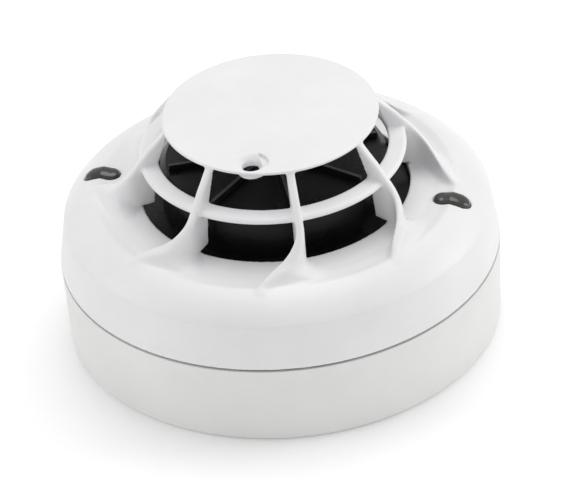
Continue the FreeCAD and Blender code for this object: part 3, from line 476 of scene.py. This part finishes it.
def noise(nodes, links, scale, detail, stretch=None):
    """Noise over the object's own coordinates."""
    texture = nodes.new("ShaderNodeTexNoise")
    texture.inputs["Scale"].default_value = scale
    texture.inputs["Detail"].default_value = detail
    texture.inputs["Roughness"].default_value = 0.6
    place = nodes.new("ShaderNodeTexCoord")
    mapping = nodes.new("ShaderNodeMapping")
    if stretch:
        mapping.inputs["Scale"].default_value = stretch
    links.new(place.outputs["Object"], mapping.inputs["Vector"])
    links.new(mapping.outputs["Vector"], texture.inputs["Vector"])
    return texture.outputs["Fac"]


def spread(nodes, links, source, low, high):
    """Maps a noise to a range."""
    ramp = nodes.new("ShaderNodeMapRange")
    ramp.inputs["From Min"].default_value = NOISE_LOW
    ramp.inputs["From Max"].default_value = NOISE_HIGH
    ramp.inputs["To Min"].default_value = low
    ramp.inputs["To Max"].default_value = high
    links.new(source, ramp.inputs["Value"])
    return ramp.outputs["Result"]


def tint(nodes, links, source, dark, light):
    """Colours between dark and light by a noise."""
    ramp = nodes.new("ShaderNodeValToRGB")
    ramp.color_ramp.elements[0].position = NOISE_LOW
    ramp.color_ramp.elements[1].position = NOISE_HIGH
    ramp.color_ramp.elements[0].color = (*dark, 1.0)
    ramp.color_ramp.elements[1].color = (*light, 1.0)
    links.new(source, ramp.inputs["Fac"])
    return ramp.outputs["Color"]


def bump(nodes, links, shader, source, strength, distance, below=None):
    """A bump on the shader's normal, laid over another one if given."""
    node = nodes.new("ShaderNodeBump")
    node.inputs["Strength"].default_value = strength
    node.inputs["Distance"].default_value = distance
    links.new(source, node.inputs["Height"])
    if below:
        links.new(below, node.inputs["Normal"])
    links.new(node.outputs["Normal"], shader.inputs["Normal"])
    return node.outputs["Normal"]


def moulded(depth=0.00004, grain=2600.0, shade=0.03, wave=0.25):
    """Satin moulded plastic: fine spark grain, slow flow marks and slight shade changes."""
    def build(nodes, links, shader, colour, roughness):
        slow = noise(nodes, links, FLOW_SCALE, 3.0)
        fine = noise(nodes, links, grain, 2.0)
        dark = tuple(channel * (1.0 - shade) for channel in colour)
        light = tuple(min(1.0, channel * (1.0 + shade)) for channel in colour)
        links.new(tint(nodes, links, slow, dark, light), shader.inputs["Base Color"])
        links.new(spread(nodes, links, fine, roughness * 0.85, roughness * 1.15), shader.inputs["Roughness"])
        broad = bump(nodes, links, shader, slow, wave, 0.0002)
        bump(nodes, links, shader, fine, 0.35, depth, broad)
    return build


def chamber_detail_and_rib_highlight(nodes, links, shader, colour, roughness):
    """Black moulded plastic whose rib crests are painted paler as a highlight."""
    fine = noise(nodes, links, STREAK_SCALE, 2.0)
    slow = noise(nodes, links, RUB_SCALE, 4.0)
    dark = tuple(channel * 0.7 for channel in colour)
    body = tint(nodes, links, slow, dark, colour)
    place = nodes.new("ShaderNodeTexCoord")
    parts = nodes.new("ShaderNodeSeparateXYZ")
    links.new(place.outputs["Object"], parts.inputs["Vector"])
    rise = nodes.new("ShaderNodeMapRange")
    rise.inputs["From Min"].default_value = RIB_HIGHLIGHT_BOTTOM
    rise.inputs["From Max"].default_value = RIB_HIGHLIGHT_TOP
    links.new(parts.outputs["Z"], rise.inputs["Value"])
    # Painted highlight: the rib tops at the crest height take the paler highlight colour.
    blend = nodes.new("ShaderNodeMixRGB")
    blend.inputs["Color2"].default_value = (*RIB_HIGHLIGHT_COLOUR, 1.0)
    links.new(rise.outputs["Result"], blend.inputs["Fac"])
    links.new(body, blend.inputs["Color1"])
    links.new(blend.outputs["Color"], shader.inputs["Base Color"])
    links.new(spread(nodes, links, slow, roughness * 0.8, roughness * 1.3), shader.inputs["Roughness"])
    bump(nodes, links, shader, fine, 0.3, 0.00004)


def metal(stretch=(1.0, 1.0, 1.0)):
    """Stamped metal with drawn streaks and dull spots."""
    def build(nodes, links, shader, colour, roughness):
        streaks = noise(nodes, links, STREAK_SCALE, 3.0, stretch)
        spots = noise(nodes, links, SPOT_SCALE, 5.0)
        dark = tuple(channel * 0.72 for channel in colour)
        links.new(tint(nodes, links, spots, dark, colour), shader.inputs["Base Color"])
        links.new(spread(nodes, links, spots, roughness * 0.7, roughness * 1.4), shader.inputs["Roughness"])
        bump(nodes, links, shader, streaks, 0.3, 0.00003)
    return build


METALLIC = {"Metallic": 1.0}
# slot: (material's name, colour, roughness, detail, other sockets)
MATERIALS = {
    "white_cover_plastic": (
        "cover_plastic", (0.85, 0.85, 0.86), 0.42, moulded(), {"Specular IOR Level": 0.45}),
    "white_base_plastic": (
        "base_plastic", (0.80, 0.80, 0.79), 0.5, moulded(grain=2200.0), {"Specular IOR Level": 0.4}),
    "black_chamber_plastic": (
        "chamber_plastic", (0.009, 0.0085, 0.009), 0.3, chamber_detail_and_rib_highlight, {"Specular IOR Level": 0.25}),
    "smoked_lens": (
        "smoked_lens", (0.034, 0.036, 0.03), 0.2,
        moulded(depth=0.00001, grain=700.0, shade=0.2, wave=0.03), {"Coat Weight": 0.3}),
    "brass": ("brass", (0.78, 0.57, 0.27), 0.3, metal((1.0, 12.0, 1.0)), METALLIC),
    "spring_steel": ("spring_steel", (0.63, 0.62, 0.6), 0.28, metal((14.0, 1.0, 1.0)), METALLIC),
    "plated_steel": ("plated_steel", (0.7, 0.69, 0.64), 0.32, metal(), METALLIC),
    "green_board": ("solder_mask", (0.02, 0.16, 0.05), 0.35, moulded(grain=600.0, shade=0.2), {}),
    "black_component": ("chip_package", (0.02, 0.02, 0.021), 0.55, moulded(grain=1800.0, shade=0.3), {}),
    "capacitor_can": ("drawn_can", (0.62, 0.62, 0.64), 0.35, metal((1.0, 1.0, 9.0)), METALLIC),
    "switch_blue": ("switch_plastic", (0.03, 0.09, 0.32), 0.45, moulded(shade=0.1), {}),
    "dial_white": ("dial_plastic", (0.82, 0.82, 0.78), 0.45, moulded(shade=0.05), {}),
    "rubber": ("seal_rubber", (0.02, 0.02, 0.02), 0.7, moulded(grain=1200.0, shade=0.3), {}),
    "lamp_clear": ("lamp_epoxy", (0.8, 0.78, 0.72), 0.15, moulded(grain=500.0, shade=0.1), {}),
    "glass": ("drawn_glass", (0.75, 0.82, 0.76), 0.08, moulded(grain=300.0, shade=0.05), {}),
    "thermistor_coat": ("bead_epoxy", (0.05, 0.035, 0.02), 0.2, moulded(grain=800.0, shade=0.3), {}),
    "tinned_wire": ("tinned_wire", (0.68, 0.68, 0.68), 0.3, metal((1.0, 1.0, 8.0)), METALLIC),
}


def paint():
    """Gives every CAD node its finish by the record's material slot."""
    finishes = {slot: material(*look) for slot, look in MATERIALS.items()}
    slots = {entry["node"]: entry["material_slot"] for entry in frame["record"]["subparts"]}
    for name, node in frame["nodes"].items():
        node.data.materials.clear()
        node.data.materials.append(finishes[slots[name]])
    return finishes


# ---- light, floor and camera ----

VIEW_ELEVATION, VIEW_DISTANCE, VIEW_ROLL, VIEW_LENS = 34.58, 1.235, -4.53, 326.3
VIEW_TARGET = (0.00296, 0.0, 0.01813)
SENSOR_WIDTH, NEAREST_SEEN = 36.0, 0.01
FLOOR_HALF, FLOOR_DROP, FLOOR_GLOW, SKY_GLOW = 1.5, 0.0002, 0.11, 0.583
LIGHT_AIM = (0.0, 0.0, 0.03)
# name: (place, diameter, watts)
SOFTBOXES = {
    "top_light": ((0.1, 0.35, 1.1), 0.9, 4.9),
    "right_light": ((1.0, 0.1, 0.45), 0.6, 2.55),
    "left_light": ((-1.0, 0.0, 0.45), 0.6, 1.5),
}


def add_camera():
    """A long lens that looks down on the front, slightly rolled, as in the photograph."""
    rise, roll = math.radians(VIEW_ELEVATION), math.radians(VIEW_ROLL)
    forward = Vector((0.0, math.cos(rise), -math.sin(rise)))
    up = Vector((0.0, math.sin(rise), math.cos(rise)))
    right = Vector((1.0, 0.0, 0.0))
    across = right * math.cos(roll) + up * math.sin(roll)
    top = up * math.cos(roll) - right * math.sin(roll)
    turn = Matrix((across, top, -forward)).transposed().to_4x4()
    data = bpy.data.cameras.new("photo_camera")
    data.lens = VIEW_LENS
    data.sensor_width = SENSOR_WIDTH
    data.clip_start = NEAREST_SEEN
    camera = bpy.data.objects.new("photo_camera", data)
    camera.matrix_world = Matrix.Translation(Vector(VIEW_TARGET) - forward * VIEW_DISTANCE) @ turn
    bpy.context.scene.collection.objects.link(camera)
    bpy.context.scene.camera = camera


def add_floor():
    """A pale table top that glows a little, so that it stays white round the object."""
    corners = [(x * FLOOR_HALF, y * FLOOR_HALF, 0) for x, y in ((-1, -1), (1, -1), (1, 1), (-1, 1))]
    mesh = bpy.data.meshes.new("floor")
    mesh.from_pydata(corners, [], [(0, 1, 2, 3)])
    floor = bpy.data.objects.new("floor", mesh)
    glow = {"Emission Color": (1.0, 1.0, 1.0, 1.0), "Emission Strength": FLOOR_GLOW}
    floor.data.materials.append(material("paper", (0.95, 0.95, 0.95), 0.9, moulded(shade=0.005), glow))
    floor.location.z = -FLOOR_DROP
    bpy.context.scene.collection.objects.link(floor)


def add_softbox(name, place, size, power):
    """A round area light that faces the object."""
    data = bpy.data.lights.new(name, "AREA")
    data.shape = "DISK"
    data.size = size
    data.energy = power
    lamp = bpy.data.objects.new(name, data)
    lamp.location = place
    lamp.rotation_euler = (Vector(LIGHT_AIM) - lamp.location).to_track_quat("-Z", "Y").to_euler()
    bpy.context.scene.collection.objects.link(lamp)


def add_lights():
    """An even white surround and the three softboxes."""
    world = bpy.data.worlds.new("studio")
    world.use_nodes = True
    backdrop = world.node_tree.nodes["Background"]
    backdrop.inputs["Color"].default_value = (1.0, 1.0, 1.0, 1.0)
    backdrop.inputs["Strength"].default_value = SKY_GLOW
    bpy.context.scene.world = world
    bpy.context.scene.view_settings.view_transform = "Standard"
    for name, (place, size, power) in SOFTBOXES.items():
        add_softbox(name, place, size, power)


finishes = paint()
cover = make_cover()
cover.data.materials.append(finishes["white_cover_plastic"])
# The seal's black lip in the seam gap is painted shade.
seal = build_seal_and_seam_shade()
seal.data.materials.append(finishes["rubber"])
for side, azimuth in (("right", WINDOW_AZIMUTH), ("left", WINDOW_AZIMUTH - 180.0)):
    lens = make_lens(side, azimuth)
    lens.data.materials.append(finishes["smoked_lens"])
add_floor()
add_lights()
add_camera()
